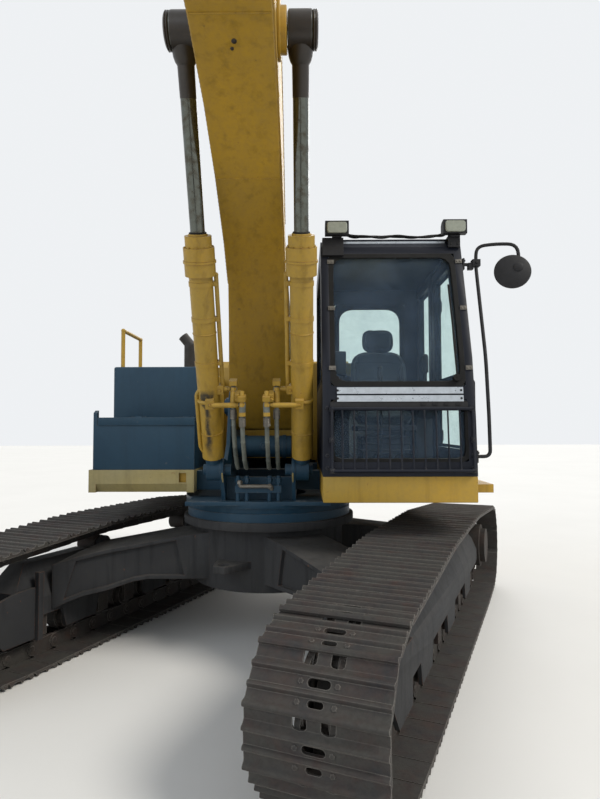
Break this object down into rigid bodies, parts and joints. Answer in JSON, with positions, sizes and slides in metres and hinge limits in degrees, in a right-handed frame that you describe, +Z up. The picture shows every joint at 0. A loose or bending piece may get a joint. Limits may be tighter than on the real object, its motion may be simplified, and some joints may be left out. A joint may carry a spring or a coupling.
{
  "type": "crawler excavator",
  "caption": "Crawler excavator with a turning upper part, cab, boom, arm and bucket on two steel tracks.",
  "frame": {"origin": "middle of the whole's footprint at the ground", "axes": "+X to the left as seen from the seat, +Y to the counterweight, -Y ahead to the bucket, +Z up"},
  "size_m": [4.7172, 9.7581, 5.4103],
  "materials": {
    "track_paint": "weathered paint under dry soil",
    "track_steel": "worn steel under dry soil",
    "yellow_paint": "weathered ochre yellow paint",
    "slate_paint": "dark blue-grey paint",
    "cab_paint": "near-black paint",
    "dark_steel": "dark steel",
    "bearing_steel": "greased steel",
    "rod_chrome": "oily chrome",
    "pane": "dusty clear glass",
    "seat_cloth": "dark slate cloth",
    "trim": "dark plastic",
    "lamp": "pale lens in a dark case",
    "hose": "grey-green rubber hose",
    "bucket_steel": "worn, rusty steel"
  },
  "bodies": {
    "undercarriage": {"center_frame": "track_paint", "track_frame_left": "track_paint", "track_frame_right": "track_paint", "track_left": "track_steel", "track_right": "track_steel", "idler_left": "track_steel", "idler_right": "track_steel", "sprocket_left": "track_steel", "sprocket_right": "track_steel", "track_rollers": "track_steel", "carrier_rollers": "track_steel", "slew_ring": "bearing_steel"},
    "house": {"revolving_frame": "slate_paint", "cab_deck": "yellow_paint", "tank_deck": "yellow_paint", "side_step": "yellow_paint", "counterweight": "yellow_paint", "engine_block": "dark_steel", "engine_housing": "yellow_paint", "fuel_tank": "slate_paint", "hydraulic_tank": "yellow_paint", "tool_box": "slate_paint", "handrails": "yellow_paint", "exhaust": "dark_steel", "cab_shell": "cab_paint", "cab_glass": "pane", "front_guard": "cab_paint", "seat": "seat_cloth", "consoles": "trim", "work_lamps": "lamp", "side_mirror": "cab_paint", "valve_pipes": "yellow_paint"},
    "cab_door_body": {"cab_door": "cab_paint", "cab_door_glass": "pane"},
    "left_door_body": {"left_side_door": "yellow_paint"},
    "right_door_body": {"right_side_door": "yellow_paint"},
    "hood_body": {"engine_hood": "yellow_paint"},
    "lid_body": {"tool_box_lid": "slate_paint"},
    "boom_body": {"boom": "yellow_paint", "boom_pipes": "yellow_paint"},
    "boom_barrel_body": {"boom_cylinder_barrels": "yellow_paint", "front_hoses": "hose"},
    "boom_rod_body": {"boom_cylinder_rods": "rod_chrome"},
    "arm_barrel_body": {"arm_cylinder_barrel": "yellow_paint"},
    "arm_rod_body": {"arm_cylinder_rod": "rod_chrome"},
    "arm_body": {"arm": "yellow_paint"},
    "bucket_barrel_body": {"bucket_cylinder_barrel": "yellow_paint"},
    "bucket_rod_body": {"bucket_cylinder_rod": "rod_chrome"},
    "rocker_body": {"rocker_links": "yellow_paint"},
    "link_body": {"bucket_link": "yellow_paint"},
    "bucket_body": {"bucket": "bucket_steel", "bucket_teeth": "bucket_steel"}
  },
  "joints": [
    {"name": "slew", "type": "hinge", "parent": "undercarriage", "child": "house", "pos_m": [0, 1.999, 1], "axis": [0, 0, 1], "continuous": true},
    {"name": "boom_lift", "type": "hinge", "parent": "house", "child": "boom_body", "pos_m": [-0.043, 1.919, 1.8], "axis": [-1, 0, 0], "range_deg": [-63, 38]},
    {"name": "arm_swing", "type": "hinge", "parent": "boom_body", "child": "arm_body", "pos_m": [-0.043, -3.29339, 4.45584], "axis": [1, 0, 0], "range_deg": [-75, 44]},
    {"name": "bucket_curl", "type": "hinge", "parent": "arm_body", "child": "bucket_body", "pos_m": [-0.043, -4.25381, 1.66657], "axis": [1, 0, 0], "range_deg": [-64, 112]},
    {"name": "cab_door_hinge", "type": "hinge", "parent": "house", "child": "cab_door_body", "pos_m": [1.432, 2.029, 2], "axis": [0, 0, 1], "range_deg": [0, 165]},
    {"name": "left_bay_door_hinge", "type": "hinge", "parent": "house", "child": "left_door_body", "pos_m": [1.432, 3.899, 1.8], "axis": [0, 0, 1], "range_deg": [0, 100]},
    {"name": "right_bay_door_hinge", "type": "hinge", "parent": "house", "child": "right_door_body", "pos_m": [-1.357, 3.899, 1.8], "axis": [0, 0, -1], "range_deg": [0, 100]},
    {"name": "engine_hood_hinge", "type": "hinge", "parent": "house", "child": "hood_body", "pos_m": [0.09, 3.285, 2.27], "axis": [1, 0, 0], "range_deg": [0, 65]},
    {"name": "tool_box_lid_hinge", "type": "hinge", "parent": "house", "child": "lid_body", "pos_m": [-0.93, 2.097, 1.716], "axis": [-1, 0, 0], "range_deg": [0, 85]},
    {"name": "boom_cylinder_swing", "type": "hinge", "parent": "house", "child": "boom_barrel_body", "pos_m": [-0.043, 1.379, 1.33], "axis": [-1, 0, 0], "range_deg": [-65, 40]},
    {"name": "boom_cylinder_stroke", "type": "slide", "parent": "boom_barrel_body", "child": "boom_rod_body", "axis": [0, -0.4266, 0.9045], "range_m": [-0.73, 0.45]},
    {"name": "arm_cylinder_swing", "type": "hinge", "parent": "boom_body", "child": "arm_barrel_body", "pos_m": [-0.043, -0.43852, 4.66226], "axis": [1, 0, 0], "range_deg": [-3, 4]},
    {"name": "arm_cylinder_stroke", "type": "slide", "parent": "arm_barrel_body", "child": "arm_rod_body", "axis": [0, -0.9761, 0.2175], "range_m": [-0.98, 0.58]},
    {"name": "bucket_cylinder_swing", "type": "hinge", "parent": "arm_body", "child": "bucket_barrel_body", "pos_m": [-0.043, -3.90373, 4.29584], "axis": [1, 0, 0], "range_deg": [-4, 6]},
    {"name": "bucket_cylinder_stroke", "type": "slide", "parent": "bucket_barrel_body", "child": "bucket_rod_body", "axis": [0, -0.4012, -0.916], "range_m": [-0.42, 0.73]},
    {"name": "rocker_swing", "type": "hinge", "parent": "arm_body", "child": "rocker_body", "pos_m": [-0.043, -4.17381, 2.08322], "axis": [1, 0, 0], "range_deg": [-39, 67]},
    {"name": "bucket_link_swing", "type": "hinge", "parent": "bucket_body", "child": "link_body", "pos_m": [-0.043, -4.69214, 1.62822], "axis": [1, 0, 0], "range_deg": [-66, 39]}
  ],
  "couplings": [
    {"joint": "boom_cylinder_swing", "follows": "boom_lift", "ratio": 1.0019},
    {"joint": "boom_cylinder_stroke", "follows": "boom_lift", "m_per_rad": 0.6495},
    {"joint": "arm_cylinder_swing", "follows": "arm_swing", "ratio": -0.033},
    {"joint": "arm_cylinder_stroke", "follows": "arm_swing", "m_per_rad": 0.7363},
    {"joint": "bucket_cylinder_swing", "follows": "bucket_curl", "ratio": 0.0423},
    {"joint": "bucket_cylinder_stroke", "follows": "bucket_curl", "m_per_rad": 0.3651},
    {"joint": "rocker_swing", "follows": "bucket_curl", "ratio": 0.585},
    {"joint": "bucket_link_swing", "follows": "bucket_curl", "ratio": -0.58}
  ]
}
